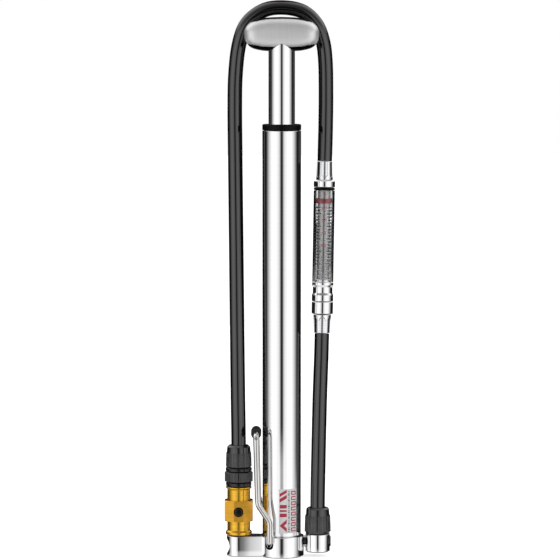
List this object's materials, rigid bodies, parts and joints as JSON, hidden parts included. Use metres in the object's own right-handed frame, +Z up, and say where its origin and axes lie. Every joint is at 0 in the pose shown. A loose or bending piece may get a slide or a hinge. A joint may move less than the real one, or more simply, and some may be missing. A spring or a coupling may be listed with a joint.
{
  "type": "compact floor pump",
  "caption": "Slim upright hand pump with a T-handle, fold-out wire foot bail, looped hose with a clear in-line pressure gauge, and a docked flip chuck with a bleed button.",
  "frame": {"origin": "on the barrel's axis at the underside of the base", "axes": "+Z up along the barrel, -Y is the front with the bleed button, -X is the side of the dock arm"},
  "size_m": [0.063, 0.0329, 0.3172],
  "materials": {
    "polished_alloy": "mirror polish",
    "satin_alloy": "fine bead blast, clear anodised",
    "stainless_steel": "drawn wire, bright",
    "dark_steel": "black oxide",
    "gold_anodised": "turned, gold anodised",
    "black_plastic": "moulded, half gloss",
    "hose_rubber": "extruded, half gloss",
    "seal_rubber": "moulded, matt",
    "bronze": "sintered",
    "red_plastic": "moulded",
    "clear_plastic": "clear, with printed scale"
  },
  "bodies": {
    "pump_base": {"base_casting": "polished_alloy", "dock_post": "stainless_steel", "valve_seat": "bronze", "check_spring": "stainless_steel", "barrel_tube": "polished_alloy", "seal_head": "black_plastic", "shaft_bush": "bronze", "shaft_seal": "seal_rubber", "hose_socket": "polished_alloy", "banjo_bolt": "dark_steel", "banjo_washer": "seal_rubber", "lower_hose_nut": "black_plastic", "lower_hose": "hose_rubber", "lower_ferrule": "polished_alloy", "gauge_sleeve": "polished_alloy", "gauge_bottom_cap": "polished_alloy", "gauge_tube": "clear_plastic", "gauge_core": "satin_alloy", "gauge_spring": "stainless_steel", "gauge_seal": "seal_rubber", "gauge_top_cap": "polished_alloy", "upper_ferrule": "polished_alloy", "upper_hose": "hose_rubber", "upper_hose_nut": "black_plastic", "fitting_collar": "black_plastic", "knurled_ring": "black_plastic", "hose_end_fitting": "black_plastic"},
    "plunger": {"plunger_shaft": "polished_alloy", "handle": "satin_alloy", "handle_stud": "stainless_steel", "piston_head": "black_plastic", "piston_seal": "seal_rubber", "piston_screw": "stainless_steel"},
    "foot_bail": {"bail_wire": "stainless_steel", "bail_sleeve": "seal_rubber"},
    "chuck": {"chuck_body": "gold_anodised", "chuck_gasket": "seal_rubber", "bleed_spring": "stainless_steel"},
    "button": {"bleed_button": "black_plastic"},
    "indicator": {"gauge_indicator": "red_plastic"},
    "valve_ball": {"check_ball": "stainless_steel"}
  },
  "joints": [
    {"name": "plunger_slide", "type": "slide", "parent": "pump_base", "child": "plunger", "axis": [0, 0, 1], "range_m": [-0.041, 0.16]},
    {"name": "foot_bail_hinge", "type": "hinge", "parent": "pump_base", "child": "foot_bail", "pos_m": [-0.0071, 0, 0.007], "axis": [0, -1, 0], "range_deg": [0, 84], "deforming": ["upper_hose"]},
    {"name": "chuck_turn", "type": "hinge", "parent": "pump_base", "child": "chuck", "pos_m": [-0.0246, 0, 0.026], "axis": [0, 0, 1], "continuous": true},
    {"name": "bleed_press", "type": "slide", "parent": "chuck", "child": "button", "axis": [0, 1, 0], "range_m": [0, 0.001], "stiffness_N_per_m": 400, "deforming": ["bleed_spring"]},
    {"name": "indicator_slide", "type": "slide", "parent": "pump_base", "child": "indicator", "axis": [-0.0165, -0.0539, -0.9984], "range_m": [0, 0.03], "stiffness_N_per_m": 40, "deforming": ["gauge_spring"]},
    {"name": "check_ball_lift", "type": "slide", "parent": "pump_base", "child": "valve_ball", "axis": [0, 0, -1], "range_m": [0, 0.001], "stiffness_N_per_m": 50, "deforming": ["check_spring"]}
  ]
}
